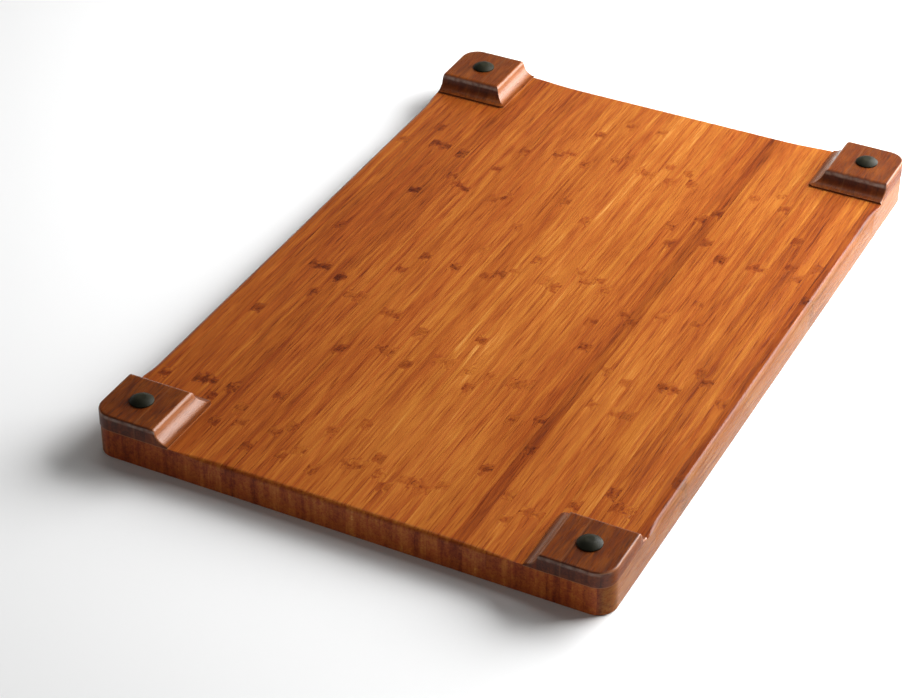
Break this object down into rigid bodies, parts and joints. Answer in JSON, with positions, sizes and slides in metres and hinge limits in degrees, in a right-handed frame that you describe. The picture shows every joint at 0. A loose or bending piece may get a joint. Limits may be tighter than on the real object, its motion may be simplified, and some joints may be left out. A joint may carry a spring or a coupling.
{
  "type": "cutting board",
  "caption": "Rectangular laminated bamboo cutting board with a rubber-footed, coved block under each corner, lying on its cutting face.",
  "frame": {"origin": "middle of the cutting face, which the board lies on as stored, with its feet up", "axes": "+X across the strips, +Y along the strips and the board's length, +Z from the cutting face towards the feet"},
  "size_m": [0.3048, 0.4572, 0.0315],
  "materials": {
    "strip_bamboo": "caramelised bamboo, sanded and oiled to a satin sheen",
    "block_bamboo": "darker caramelised bamboo, routed, sanded and oiled to a satin sheen",
    "foot_rubber": "moulded dark rubber, dull satin"
  },
  "bodies": {
    "root": {"strip_01": "strip_bamboo", "strip_02": "strip_bamboo", "strip_03": "strip_bamboo", "strip_04": "strip_bamboo", "strip_05": "strip_bamboo", "strip_06": "strip_bamboo", "strip_07": "strip_bamboo", "strip_08": "strip_bamboo", "strip_09": "strip_bamboo", "strip_10": "strip_bamboo", "strip_11": "strip_bamboo", "strip_12": "strip_bamboo", "strip_13": "strip_bamboo", "strip_14": "strip_bamboo", "strip_15": "strip_bamboo", "strip_16": "strip_bamboo", "strip_17": "strip_bamboo", "strip_18": "strip_bamboo", "strip_19": "strip_bamboo", "strip_20": "strip_bamboo", "strip_21": "strip_bamboo", "strip_22": "strip_bamboo", "strip_23": "strip_bamboo", "strip_24": "strip_bamboo", "strip_25": "strip_bamboo", "strip_26": "strip_bamboo", "strip_27": "strip_bamboo", "strip_28": "strip_bamboo", "strip_29": "strip_bamboo", "strip_30": "strip_bamboo", "strip_31": "strip_bamboo", "strip_32": "strip_bamboo", "strip_33": "strip_bamboo", "strip_34": "strip_bamboo", "strip_35": "strip_bamboo", "strip_36": "strip_bamboo", "strip_37": "strip_bamboo", "strip_38": "strip_bamboo", "strip_39": "strip_bamboo", "strip_40": "strip_bamboo", "strip_41": "strip_bamboo", "strip_42": "strip_bamboo", "strip_43": "strip_bamboo", "strip_44": "strip_bamboo", "strip_45": "strip_bamboo", "block_front_left_outer": "block_bamboo", "block_front_right_outer": "block_bamboo", "block_rear_left_outer": "block_bamboo", "block_rear_right_outer": "block_bamboo", "block_front_left_inner": "block_bamboo", "block_front_right_inner": "block_bamboo", "block_rear_left_inner": "block_bamboo", "block_rear_right_inner": "block_bamboo", "foot_front_left": "foot_rubber", "foot_front_right": "foot_rubber", "foot_rear_left": "foot_rubber", "foot_rear_right": "foot_rubber"}
  },
  "joints": []
}
